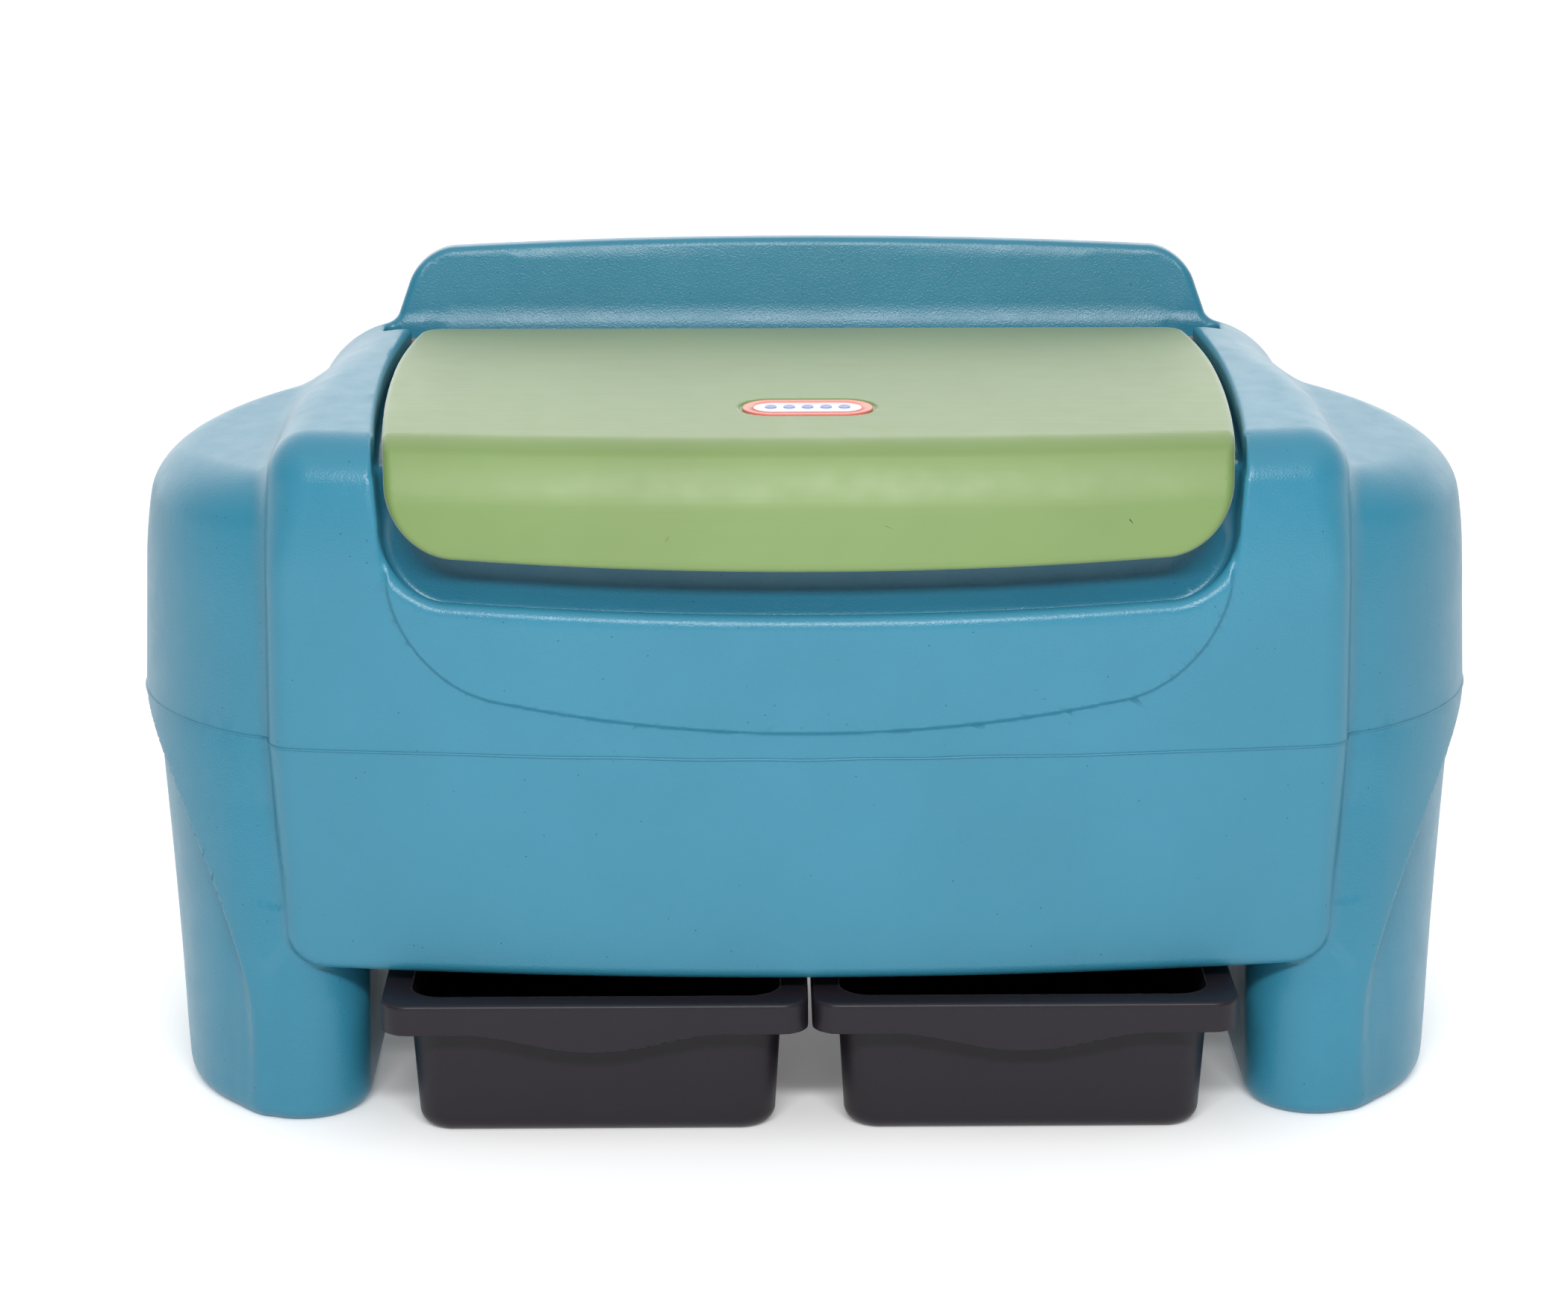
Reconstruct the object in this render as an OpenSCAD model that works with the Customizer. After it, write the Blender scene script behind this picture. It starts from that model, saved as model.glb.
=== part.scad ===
// Toy chest: one hollow, double-walled moulding with two rounded side wings, a back
// rail and a deep tub, closed by a lift-off hinged lid. Two bins slide out from the
// bay under the tub.
// Millimetres, +Z up, -Y is the front. The origin is on the floor, in the middle of
// the space that the whole chest fills.

/* [Overall] */
// Width over the two side wings
chest_w = 1050; // [1040:2:1060]
// Depth from the front of the bins to the back wall
chest_d = 495; // [485:5:500]
// Height to the middle of the back rail
chest_h = 612; // [601:5:621]
// How far the bins stand out in front of the panel
bin_proud = 20; // [10:5:30]

/* [Moulding] */
// Wall thickness of the hollow moulding
wall = 3.5; // [3:0.5:5]
// Radius of the bowed front, seen from above
bow_r = 2400; // [2000:100:3200]
// Half width of the middle section
mid_half = 408; // [404:1:412]
// Height of the front panel's lower edge
panel_z = 122; // [118:1:126]
// Height of the line where the two mould halves met
parting_z = 297; // [285:1:310]
// Height of the middle section's top at its front edge
top_front_z = 531; // [525:1:535]
// Slope of that top, rising to the back
top_tilt = 1.9; // [1:0.1:3]
// Rounding radius of the top's front edge
top_round = 32; // [24:1:36]
// Radius of a side wing, seen from above
wing_r = 205; // [200:1:210]
// Height of a wing's top where it meets the middle section
wing_z = 497; // [490:1:500]
// How far the arched scoop in each side stops short of the parting line
scoop_gap = 3; // [2:1:8]

/* [Toy compartment] */
// Half width of the compartment at its mouth
tub_half = 294; // [285:1:298]
// Height of the compartment's floor
tub_floor_z = 146; // [144:1:160]
// Depth of the seat around the mouth, below the moulding's top
seat_depth = 26; // [24:1:28]
// Height of the finger gap's lower edge under the lid
gap_z = 411; // [400:1:418]

/* [Lid] */
// Thickness of the lid's wall
lid_wall = 3.2; // [2.5:0.1:3.6]
// Diameter of the two hinge pins
pin_d = 10; // [8:0.5:11]
// Distance from the hinge axis back to the lid's rear edge
pin_back = 9; // [9:0.5:10]

/* [Bins] */
// Width of one bin over its rim
bin_w = 322; // [310:1:324]
// Length of one bin, front to back
bin_l = 452; // [400:2:456]
// Height of one bin
bin_h = 112; // [100:1:114]
// Height of the rim's outer skirt
rim_h = 24; // [18:1:28]
// Wall thickness of the bins
bin_wall = 2.4; // [2:0.1:3]

/* [Badge] */
// Length of the badge plate
badge_l = 99; // [80:1:110]
// Width of the badge plate
badge_w = 44; // [36:1:50]

/* [Hidden] */

$fn = 40;
skin = 0.5;
far = 400;
back_y = chest_d / 2;
bins_front_y = -chest_d / 2;
front_y = bins_front_y + bin_proud;

// The wings and feet, as circles seen from above
wing_x = chest_w / 2 - wing_r;
wing_y = 20;
foot_r = 162;
foot_x = wing_x + 10;
foot_front_y = -57;
foot_back_y = back_y - foot_r;
foot_round = 12;
parting_step = 0.7;
leg_r = 51;
leg_x = 391;
leg_front_y = -150;
leg_lean = 16;
leg_top_z = panel_z + 40;
inner_cut_x = 385;

// The lid
lid_back_y = 207;
lid_gap = 6;
lid_back_gap = 10;
rest_gap = 0.4;
axis_y = lid_back_y - pin_back;
axis_z = 529;
pin_x = [280, 341];
pocket_x = [310, 346];
pocket_y = [axis_y - 12, lid_back_y + lid_back_gap];
pocket_z = axis_z - pin_d / 2 - rest_gap;
seat_front_y = front_y + 37;
boss_r = 8.5;
boss_x = [276, 310];
running_gap = 0.05;
bumper_r = 7.5;
bumper_at = [302, -120];
bumper_h = 4;
vent_x = 210;
vent_z = 180;
vent_r = 8;
vent_recess = 5;

// The lid's side view at its middle, from the bottom of the rear edge over the top to
// the apron's lower edge: [y, z, half width, how much the front's bow shows]
lid_rows = [
    [lid_back_y, 527, 315, 0],
    [lid_back_y, 536, 315, 0],
    [lid_back_y - 3, 540, 315.5, 0],
    [lid_back_y - 9, 541, 317, 0],
    [150, 540.8, 322.5, 0.1],
    [80, 540, 325.5, 0.3],
    [0, 538.3, 325.5, 0.55],
    [-80, 535.5, 322, 0.8],
    [-150, 532.6, 317, 0.95],
    [-182, 531, 315, 1],
    [-189, 529, 314.5, 1],
    [-206, 514, 315, 1],
    [-211, 505, 315, 1],
    [-216, 485, 313, 1],
    [-218, 474, 308.5, 1],
    [-220, 462, 299, 1],
    [-221.5, 453, 287.5, 1],
    [-222.5, 447, 275, 1],
    [-223, 444, 262, 1],
];
lid_lower_bow = 5;
lid_edge_round = 2.5;
lid_side_skirt = 19;
apron_skirt = 7;
badge_y = -90;
badge_pocket = 1.6;
badge_h = 2.4;
badge_ring = 9;
inlay_z = 1;
inlay_h = 1.2;

bin_rim_r = 20;
bin_gap = 3;
bin_inset_top = 19;
bin_inset_floor = 26;
bin_floor_round = 12;
lip_l = 146;
lip_drop = 14;

// ---------------------------------------------------------------- shared shapes

// How far the bowed front falls back at x
function bow(x) = bow_r - sqrt(bow_r * bow_r - x * x);

// One thin layer of a hull, at height z
module layer(z) translate([0, 0, z]) linear_extrude(skin) children();

// Both sides of the chest
module both_sides() {
    children();
    mirror([1, 0, 0]) children();
}

// A rectangle from one corner to the other with round corners
module round_box(low, high, r) {
    offset(r = r) offset(delta = -r)
        translate(low) square([high[0] - low[0], high[1] - low[1]]);
}

// ---------------------------------------------------------------- chest body

// The middle section from above: half width at the front and back, corner radius,
// and how far the outline is moved in
module mid_plan(front_half, back_half, corner, inset) {
    steps = 7;
    arc = [for (i = [-steps:steps]) let (x = front_half * i / steps) [x, front_y + bow(x)]];
    offset(r = corner) offset(delta = -corner - inset)
        polygon(concat(arc, [[back_half, back_y], [-back_half, back_y]]));
}

// A prism of height h that starts d below the sloping top
module under_top(d, h = skin) {
    slope = tan(top_tilt);
    edge_y = front_y + top_round;
    z = top_front_z - d - slope * edge_y;
    multmatrix([[1, 0, 0, 0], [0, 1, 0, 0], [0, slope, 1, z], [0, 0, 0, 1]])
        linear_extrude(h) children();
}

// The middle section, with every face moved in by t
module middle(t) {
    hull() {
        layer(panel_z + t) mid_plan(mid_half, mid_half, 26, 9 + t);
        layer(panel_z + 3 + t) mid_plan(mid_half, mid_half, 30, 3 + t);
        layer(panel_z + 11 + t) mid_plan(mid_half, mid_half, 30, t);
        layer(parting_z) mid_plan(mid_half, mid_half, 30, t);
        under_top(75 + t) mid_plan(mid_half - 2, mid_half - 1, 30, t);
        under_top(top_round + t) mid_plan(mid_half - 4, mid_half - 8, 30, t);
        under_top(0.3 * top_round + t) mid_plan(mid_half - 4, mid_half - 28, 28, 0.29 * top_round + t);
        under_top(0.08 * top_round + t) mid_plan(mid_half - 2, mid_half - 38, 24, 0.62 * top_round + t);
        under_top(skin + t) mid_plan(mid_half - 1, mid_half - 40, 20, top_round + t);
    }
}

// The part of a plan view that lies outside the legs' middle
module outside_cut(x) intersection() {
    children();
    translate([x, -far]) square([far, 2 * far]);
}

module wing_plan(r) outside_cut(inner_cut_x) translate([wing_x, wing_y]) circle(r);

module foot_plan(inset) outside_cut(inner_cut_x) hull() {
    translate([foot_x, foot_front_y]) circle(foot_r - inset);
    translate([foot_x, foot_back_y]) circle(foot_r - inset);
}

// A layer that lies d below a wing's top, which falls outwards and forwards
module under_wing_top(d) {
    outward = -0.12;
    back = 0.03;
    z = wing_z - outward * mid_half - back * wing_y - d;
    multmatrix([[1, 0, 0, 0], [0, 1, 0, 0], [outward, back, 1, z], [0, 0, 0, 1]])
        linear_extrude(skin) children();
}

// One wing above the parting line
module wing_top(t) {
    round = 30;
    hull() {
        layer(parting_z - 2) wing_plan(wing_r - t);
        under_wing_top(round + 8 + t) wing_plan(wing_r - 1 - t);
        under_wing_top(0.3 * round + t) wing_plan(wing_r - 0.3 * round - t);
        under_wing_top(0.07 * round + t) wing_plan(wing_r - 0.65 * round - t);
        under_wing_top(skin + t) wing_plan(wing_r - 1.1 * round - t);
    }
}

// The side's arched scoop, as a prism along X
module scoop(t) {
    half_l = 207 + t;
    height = parting_z - scoop_gap + t;
    translate([inner_cut_x - 20, wing_y, 0]) rotate([90, 0, 90]) linear_extrude(far)
        intersection() {
            scale([half_l, height]) circle(1, $fn = 56);
            translate([-far, -20]) square([2 * far, far]);
        }
}

// One wing below the parting line: the full shape outside the scoop, and the slimmer
// cheek inside it
module wing_foot(t) {
    difference() {
        hull() {
            layer(parting_z) wing_plan(wing_r - parting_step - t);
            layer(parting_z / 2) outside_cut(inner_cut_x) hull() {
                translate([wing_x + 5, -14]) circle(wing_r - 16 - t);
                translate([wing_x + 5, 52]) circle(wing_r - 16 - t);
            }
            layer(foot_round) foot_plan(t);
            layer(t) foot_plan(foot_round + t);
        }
        scoop(t);
    }
    hull() {
        layer(parting_z - 4) wing_plan(wing_r - 5 - t);
        layer(foot_round) foot_plan(t);
        layer(t) foot_plan(foot_round + t);
    }
}

// The rounded inner leg under the middle section
module leg(t) {
    r = leg_r - t;
    back = back_y - leg_r;
    hull() {
        for (y = [leg_front_y, back]) translate([leg_x, y, t]) cylinder(skin, r - 9, r - 9);
        for (y = [leg_front_y, back]) translate([leg_x, y, 10]) cylinder(skin, r, r);
        for (y = [leg_front_y + leg_lean, back]) translate([leg_x, y, leg_top_z]) cylinder(skin, r, r);
    }
}

// The back rail's outline from the front, bowed along its top
module rail_face(inset) {
    base_half = 339;
    top_half = 303;
    corner = 24;
    rise = 8;
    steps = 6;
    arc = [for (i = [steps:-1:-steps]) let (x = top_half * i / steps)
        [x, chest_h - rise * pow(i / steps, 2)]];
    offset(r = corner - inset) offset(delta = -corner)
        polygon(concat([[-base_half - 12, 470], [base_half + 12, 470], [base_half, 541]], arc,
            [[-base_half, 541]]));
}

module rail_slab(y, inset)
    translate([0, y, 0]) rotate([90, 0, 0]) linear_extrude(skin) rail_face(inset);

module rail(t) {
    hull() {
        rail_slab(back_y - t, 7 + t);
        rail_slab(back_y - t - 7, t);
        rail_slab(back_y - 14 + 0.2 * t, t);
        rail_slab(back_y - 20 + t, 5 + t);
        translate([-332 + t, back_y - 30 + t, 500]) cube([664 - 2 * t, 1, 40 - t]);
    }
}

// The moulding's outer form, with every face moved in by t
module outer_form(t) {
    middle(t);
    rail(t);
    both_sides() {
        wing_top(t);
        wing_foot(t);
        leg(t);
    }
}

// The compartment, its seat, the finger gap and the hinge pockets, grown by t
module hollows(t) {
    hull() {
        layer(tub_floor_z - t) tub_plan(34 - t, 30 - t, 30);
        layer(tub_floor_z + 22 - t) tub_plan(14 - t, 10 - t, 44);
        layer(top_front_z + 40) tub_plan(-t, -t, 44);
    }
    // The seat that the lid lies in, open to the front
    under_top(seat_depth + t, 120) seat_plan(t);
    // The finger gap, with its back wall parallel to the bowed front
    intersection() {
        rotate([90, 0, 0]) linear_extrude(far) gap_face(t);
        linear_extrude(2 * far) gap_plan(t);
    }
    both_sides()
        translate([pocket_x[0], pocket_y[0] - t, pocket_z - t])
            cube([pocket_x[1] - pocket_x[0] + t, pocket_y[1] - pocket_y[0] + t, 80]);
    both_sides()
        translate([vent_x, back_y + 1, vent_z]) rotate([90, 0, 0])
            cylinder(vent_recess + 1 + t, 16 + t, 16 + t);
}

// The compartment from above, narrower by dx at each side and by dy at the front and back
module tub_plan(dx, dy, r)
    round_box([-tub_half + dx, seat_front_y + 20 + dy], [tub_half - dx, 170 - dy], r);

// The lid's outline from above, wider by the gap around it, and open to the front
module seat_plan(t) {
    side = [for (row = lid_rows) if (row[1] > 529) [row[2] + lid_gap + t, row[0]]];
    right = concat([[side[0][0], lid_back_y + lid_back_gap + t]], side, [[side[0][0], -far]]);
    left = [for (i = [len(right) - 1:-1:0]) [-right[i][0], right[i][1]]];
    polygon(concat(right, left));
}

module gap_face(t) {
    half = 321 + t;
    offset(r = 52) offset(delta = -52)
        translate([-half, gap_z - t]) square([2 * half, 300]);
}

module gap_plan(t) {
    steps = 7;
    half = 345;
    y0 = seat_front_y + t;
    arc = [for (i = [-steps:steps]) let (x = half * i / steps) [x, y0 + bow(x)]];
    polygon(concat([[-half, -far], [half, -far]], [for (i = [len(arc) - 1:-1:0]) arc[i]]));
}

module chest_body() {
    color("steelblue") difference() {
        outer_form(0);
        hollows(0);
        difference() {
            outer_form(wall);
            hollows(wall);
        }
        for (x = [-vent_x, vent_x])
            translate([x, back_y + 1, vent_z]) rotate([90, 0, 0]) cylinder(20, vent_r, vent_r);
    }
}

// A soft plug in one of the moulding's two vent holes, in the back wall
module vent_plug(x) {
    head_r = 13;
    color("darkslategray") translate([x, back_y - vent_recess, vent_z]) rotate([90, 0, 0]) {
        translate([0, 0, -2.5]) cylinder(2.5, head_r - 2, head_r);
        cylinder(9, vent_r - 0.4, vent_r - 0.8);
    }
}

// ---------------------------------------------------------------- lid

// Outward direction of the lid's side view at row i
function row_normal(i) =
    let (
        a = lid_rows[max(i - 1, 0)],
        b = lid_rows[min(i + 1, len(lid_rows) - 1)],
        d = [b[0] - a[0], b[1] - a[1]]
    )
    [-d[1], d[0]] / norm(d) * -1;

// Columns of the lid's grid: share of the half width, depth below the surface as a
// share of the skirt, and depth of the edge rounding
lid_columns = concat(
    [[-1, 1, 0], [-1, 0, 1], [-0.992, 0, 0.25], [-0.98, 0, 0]],
    [for (i = [-5:5]) [0.96 * i / 5.5, 0, 0]],
    [[0.98, 0, 0], [0.992, 0, 0.25], [1, 0, 1], [1, 1, 0]]
);

// One point of the lid's grid, on the outside (t = 0) or the inside
function lid_point(i, j, t) =
    let (
        row = lid_rows[i],
        column = lid_columns[j],
        n = row_normal(i),
        skirt = i < 2 ? 6 : (i > 10 ? apron_skirt : lid_side_skirt),
        depth = column[1] > 0 ? column[1] * skirt : max(column[2] * lid_edge_round, 0) + t,
        x = column[0] * (row[2] - t),
        last = i == len(lid_rows) - 1 ? lid_lower_bow * (1 - pow(column[0], 2)) : 0
    )
    [x, row[0] + row[3] * bow(x) - n[0] * depth, row[1] - last - n[1] * depth];

module lid_shell() {
    rows = len(lid_rows);
    columns = len(lid_columns);
    points = [for (t = [0, lid_wall]) for (i = [0:rows - 1]) for (j = [0:columns - 1])
        lid_point(i, j, t)];
    outer = function (i, j) i * columns + j;
    inner = function (i, j) rows * columns + i * columns + j;
    skin_faces = [for (i = [0:rows - 2]) for (j = [0:columns - 2]) each [
        [outer(i, j), outer(i + 1, j + 1), outer(i + 1, j)],
        [outer(i, j), outer(i, j + 1), outer(i + 1, j + 1)],
        [inner(i, j), inner(i + 1, j), inner(i + 1, j + 1)],
        [inner(i, j), inner(i + 1, j + 1), inner(i, j + 1)]]];
    end_faces = [for (j = [0:columns - 2]) each [
        [outer(0, j), inner(0, j + 1), outer(0, j + 1)],
        [outer(0, j), inner(0, j), inner(0, j + 1)],
        [outer(rows - 1, j), inner(rows - 1, j + 1), inner(rows - 1, j)],
        [outer(rows - 1, j), outer(rows - 1, j + 1), inner(rows - 1, j + 1)]]];
    side_faces = [for (i = [0:rows - 2]) each [
        [outer(i, 0), inner(i + 1, 0), inner(i, 0)],
        [outer(i, 0), outer(i + 1, 0), inner(i + 1, 0)],
        [outer(i, columns - 1), inner(i, columns - 1), inner(i + 1, columns - 1)],
        [outer(i, columns - 1), inner(i + 1, columns - 1), outer(i + 1, columns - 1)]]];
    polyhedron(points, concat(skin_faces, end_faces, side_faces), convexity = 6);
}

module lid() {
    color("yellowgreen") difference() {
        union() {
            lid_shell();
            lid_ribs();
            both_sides() {
                hinge_boss();
                bumper_post();
            }
        }
        both_sides() {
            along_axis(pin_x[0] - 0.5, boss_x[1] + 0.5, pin_d / 2 + running_gap);
            pin_notch();
        }
        badge_recess();
    }
}

// Height of the lid's top at y, on its middle line
function lid_z(y) = lookup(-y, [for (i = [3:9]) [-lid_rows[i][0], lid_rows[i][1]]]);

// Stiffening ribs under the flat of the lid
module lid_ribs() {
    rib = 2.5;
    top = lid_wall - 0.8;
    depth = 13;
    ys = [190, 150, 80, 0, -80, -150];
    for (x = [-180, 0, 180]) translate([x - rib / 2, 0, 0]) rotate([90, 0, 90]) linear_extrude(rib)
        polygon(concat([for (y = ys) [y, lid_z(y) - top]],
            [for (i = [len(ys) - 1:-1:0]) [ys[i], lid_z(ys[i]) - depth]]));
    for (y = [-20, 110]) translate([-300, y - rib / 2, lid_z(y) - depth])
        cube([600, rib, depth - top]);
}

// A cylinder of radius r on the hinge axis, from x0 to x1
module along_axis(x0, x1, r)
    translate([x0, axis_y, axis_z]) rotate([0, 90, 0]) cylinder(x1 - x0, r, r);

// The boss that turns on a hinge pin, hung from the lid by a web
module hinge_boss() {
    along_axis(boss_x[0], boss_x[1], boss_r);
    translate([boss_x[0], axis_y - boss_r, axis_z])
        cube([boss_x[1] - boss_x[0], boss_r + 4, 11]);
}

// The notch in the lid's side that a pin passes through
module pin_notch()
    translate([boss_x[1] + 0.5, axis_y - 7, axis_z - 20]) cube([20, 14, 27]);

// The post that carries a bumper
module bumper_post() {
    foot_z = bumper_z() + bumper_h;
    translate([bumper_at[0], bumper_at[1], foot_z])
        cylinder(531.5 - foot_z, bumper_r - 1, bumper_r - 1);
}

// The badge's recess is wider than the plate on every side but the front
module badge_recess() {
    on_badge() translate([0, 3, 0]) badge_pill(badge_l + 6, badge_w + 8, 20);
}

// Height and slope of the lid's top under the badge
function badge_top_z() = let (a = lid_rows[7], b = lid_rows[8])
    a[1] + (b[1] - a[1]) * (badge_y - a[0]) / (b[0] - a[0]);
function badge_tilt() =
    let (a = lid_rows[7], b = lid_rows[8])
    atan((b[1] - a[1]) / (b[0] - a[0]));

// A flat pill: a box with a half cylinder at each end
module badge_pill(l, w, h) {
    translate([-(l - w) / 2, -w / 2, 0]) cube([l - w, w, h]);
    for (x = [-(l - w) / 2, (l - w) / 2]) translate([x, 0, 0]) cylinder(h, w / 2, w / 2);
}

module on_badge()
    translate([0, badge_y, badge_top_z() - badge_pocket]) rotate([badge_tilt(), 0, 0]) children();

// The badge's rim, with a recess for the inlay
module badge_plate() {
    color("salmon") on_badge() difference() {
        badge_pill(badge_l, badge_w, badge_h);
        translate([0, 0, inlay_z])
            badge_pill(badge_l - 2 * badge_ring, badge_w - 2 * badge_ring, 5);
    }
}

// The pale inlay in the badge's rim
module badge_inlay() {
    gap = 0.3;
    color("white") on_badge() translate([0, 0, inlay_z])
        badge_pill(badge_l - 2 * badge_ring - 2 * gap, badge_w - 2 * badge_ring - 2 * gap, inlay_h);
}

// Five round studs on the inlay, a plain pattern that stands for no mark
module badge_studs() {
    color("lightsteelblue") on_badge() for (i = [-2:2])
        translate([14 * i, 0, inlay_z + inlay_h]) cylinder(0.8, 4.5, 4);
}

// A hinge pin: the lid's boss turns on it, and its outer end rests in the moulding's
// pocket. The boss's blind end and the pocket's wall keep it from sliding sideways.
module hinge_pin() {
    color("gray") along_axis(pin_x[0], pin_x[1], pin_d / 2);
}

// Height of a bumper's underside
function bumper_z() = seat_z(bumper_at[1]) + rest_gap + 0.2;

// A soft bumper that keeps the lid's front off the moulding
module lid_bumper() {
    color("dimgray") translate([bumper_at[0], bumper_at[1], bumper_z()])
        cylinder(bumper_h, bumper_r, bumper_r);
}

// Height of the seat at y
function seat_z(y) = top_front_z - seat_depth + (y - front_y - top_round) * tan(top_tilt);

// ---------------------------------------------------------------- bins

module bin_layer(z, inset, r)
    layer(z) round_box([inset, inset], [bin_w - inset, bin_l - inset], r);

// The bin's tapered body from its floor up, with its faces moved in by t
module bin_body(t) hull() {
    bin_layer(t, bin_inset_floor + 9 + t, 18 - t);
    bin_layer(3.5 + t, bin_inset_floor + 2.5 + t, 24 - t);
    bin_layer(bin_floor_round + t, bin_inset_floor - 0.7 + t, 26 - t);
    bin_layer(bin_h + 2 * t, bin_inset_top + t, 28 - t);
}

// The rim with its outer skirt, hollow from below
module bin_rim() {
    w = bin_wall;
    difference() {
        hull() {
            bin_layer(bin_h - rim_h, 0, bin_rim_r);
            bin_layer(bin_h - 2.5, 0, bin_rim_r);
            bin_layer(bin_h - skin, 2.5, bin_rim_r - 2);
        }
        hull() {
            bin_layer(bin_h - rim_h - 1, w, bin_rim_r - w);
            bin_layer(bin_h - w - 3, w, bin_rim_r - w);
            bin_layer(bin_h - w - skin, w + 3, bin_rim_r - w - 2);
        }
    }
}

// One bin, with the front left corner of its rim at the origin
module bin() {
    difference() {
        union() {
            bin_rim();
            intersection() {
                bin_body(0);
                cube([bin_w, bin_l, bin_h - 1]);
            }
            pull_lip();
        }
        bin_body(bin_wall);
    }
}

// The finger lip that hangs from the middle of the front rim
module pull_lip() {
    r = (lip_l * lip_l / 4 + lip_drop * lip_drop) / (2 * lip_drop);
    translate([bin_w / 2, bin_wall - 0.3, bin_h - rim_h]) rotate([90, 0, 0])
        linear_extrude(bin_wall - 0.6) intersection() {
            translate([0, r - lip_drop]) circle(r, $fn = 200);
            translate([-lip_l / 2 - 5, -lip_drop - 1]) square([lip_l + 10, lip_drop + 6]);
        }
}

module bin_left() color("dimgray") translate([-bin_gap / 2 - bin_w, bins_front_y, 0]) bin();
module bin_right() color("dimgray") translate([bin_gap / 2, bins_front_y, 0]) bin();

chest_body();
vent_plug(-vent_x);  // vent_plug_left
vent_plug(vent_x);  // vent_plug_right
lid();
mirror([1, 0, 0]) hinge_pin();  // hinge_pin_left
hinge_pin();  // hinge_pin_right
mirror([1, 0, 0]) lid_bumper();  // lid_bumper_left
lid_bumper();  // lid_bumper_right
badge_plate();
badge_inlay();
badge_studs();
bin_left();
bin_right();
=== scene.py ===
"""A hollow moulded toy chest: blue body with side wings, green hinged lid, dark bins.

The chest body, the lid and the bins are distance fields, each meshed once and moved onto
its field's surface. The badge and the parting line are rings of points. Metres
throughout, in the frame's own coordinates.
"""

import math

import bpy
import numpy as np
import openvdb
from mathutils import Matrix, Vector


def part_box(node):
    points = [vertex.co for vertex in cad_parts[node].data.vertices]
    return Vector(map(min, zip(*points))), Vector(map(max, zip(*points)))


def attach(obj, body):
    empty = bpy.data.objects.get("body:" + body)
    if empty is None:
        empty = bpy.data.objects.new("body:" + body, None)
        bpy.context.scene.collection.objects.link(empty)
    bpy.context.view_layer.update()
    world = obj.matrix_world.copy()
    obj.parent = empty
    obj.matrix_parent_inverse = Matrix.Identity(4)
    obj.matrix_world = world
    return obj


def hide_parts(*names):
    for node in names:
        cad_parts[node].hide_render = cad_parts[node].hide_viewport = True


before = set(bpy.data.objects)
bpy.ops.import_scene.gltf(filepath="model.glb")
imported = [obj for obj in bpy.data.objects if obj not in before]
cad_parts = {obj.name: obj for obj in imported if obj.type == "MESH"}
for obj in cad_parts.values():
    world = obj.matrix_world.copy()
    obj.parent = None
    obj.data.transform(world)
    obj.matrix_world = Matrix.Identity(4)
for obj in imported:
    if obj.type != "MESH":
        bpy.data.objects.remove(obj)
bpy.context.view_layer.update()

# ------------------------------------------------------------------ sizes

BODY_LOW, BODY_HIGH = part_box("chest_body")
LID_LOW, LID_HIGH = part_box("lid")
HALF = BODY_HIGH.x
FRONT = BODY_LOW.y
BACK = BODY_HIGH.y
TOP = BODY_HIGH.z

BOW_R = 2.4
MID_HALF = 0.408
PANEL_Z = 0.122
PARTING_Z = 0.297
TOP_FRONT_Z = 0.531
TOP_SLOPE = math.tan(math.radians(1.9))

WING_R = 0.205
WING_X = HALF - WING_R
WING_Y = 0.020
WING_Z = 0.499

INNER_CUT = 0.413
LEG_R = 0.051
LEG_X = 0.391
LEG_Y = -0.150

SEAT_FRONT = FRONT + 0.037
SEAT_BACK = LID_HIGH.y + 0.010
SEAT_DEPTH = 0.026
GAP_Z = 0.411

TUB_WALL = 0.030
GAP_DEEPER = 0.009

BADGE_Y = -0.090

# How far flat areas may be merged into larger faces, and the lattice's step factor.
MERGE = 0.02
BODY_MERGE = 0.01
COARSER = 1.0


# ------------------------------------------------------------------ distance fields
# A field is negative inside. x is the distance from the chest's middle plane.


def join(a, b, r=0.0):
    """Both solids, with a fillet of radius r where they meet."""
    if np.all(r == 0):
        return np.minimum(a, b)
    depth = np.hypot(np.maximum(r - a, 0), np.maximum(r - b, 0))
    return np.maximum(r, np.minimum(a, b)) - depth


def meet(a, b, r=0.0):
    """What is in both solids, with the edge rounded to radius r."""
    if np.all(r == 0):
        return np.maximum(a, b)
    depth = np.hypot(np.maximum(r + a, 0), np.maximum(r + b, 0))
    return np.minimum(-r, np.maximum(a, b)) + depth


def blend(low, high, value):
    """0 at low, 1 at high, smooth between; low may be the larger."""
    t = np.clip((value - low) / (high - low), 0, 1)
    return t * t * (3 - 2 * t)


def bow(x):
    """How far the bowed front falls back at x."""
    return BOW_R - np.sqrt(BOW_R**2 - np.square(x))


def middle_top(y):
    return TOP_FRONT_Z + (y - FRONT - 0.032) * TOP_SLOPE


def crescent(x, z):
    """How far the raised crescent under the finger gap stands out."""
    side = x - 0.3145
    lower = 0.3165 + 0.40 * np.square(x) - z
    outline = meet(side, lower, 0.080)
    return 0.0040 * blend(0.0015, -0.0035, outline) * blend(0.462, 0.415, z)


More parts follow.
